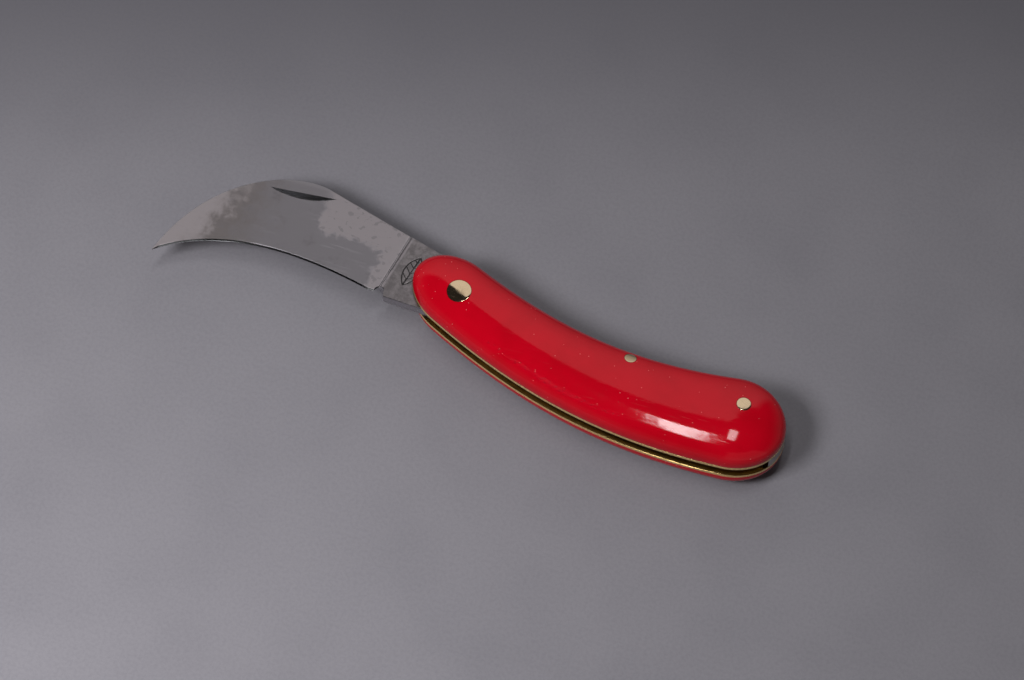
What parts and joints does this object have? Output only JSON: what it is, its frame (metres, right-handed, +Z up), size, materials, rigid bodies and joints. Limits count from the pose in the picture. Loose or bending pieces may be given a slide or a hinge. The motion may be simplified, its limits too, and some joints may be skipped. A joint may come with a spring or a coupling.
{
  "type": "folding hawkbill knife",
  "caption": "Folding grafting and pruning knife with a hooked blade that folds into a curved two-scale handle with a slot between brass liners.",
  "frame": {"origin": "on the pivot axis, on the surface that the knife lies on, at the flush rear end of the pivot rivet", "axes": "+X from the pivot to the butt, +Y to the back of the knife, +Z up out of the front scale"},
  "size_m": [0.1721, 0.0466, 0.0177],
  "materials": {
    "blade_steel": "ground and lightly stained",
    "spring_steel": "ground",
    "liner_brass": "edges polished, faces dull",
    "rivet_brass": "polished flush",
    "scale_plastic": "polished"
  },
  "bodies": {
    "handle": {"back_spring": "spring_steel", "front_liner": "liner_brass", "rear_liner": "liner_brass", "front_scale": "scale_plastic", "rear_scale": "scale_plastic", "pivot_rivet": "rivet_brass", "pivot_burr": "rivet_brass", "middle_rivet": "rivet_brass", "end_rivet": "rivet_brass"},
    "blade": {"blade": "blade_steel"}
  },
  "joints": [
    {"name": "blade_pivot", "type": "hinge", "parent": "handle", "child": "blade", "pos_m": [0, 0, 0.00883], "axis": [0, 0, 1], "range_deg": [0, 160], "deforming": ["back_spring"]}
  ]
}
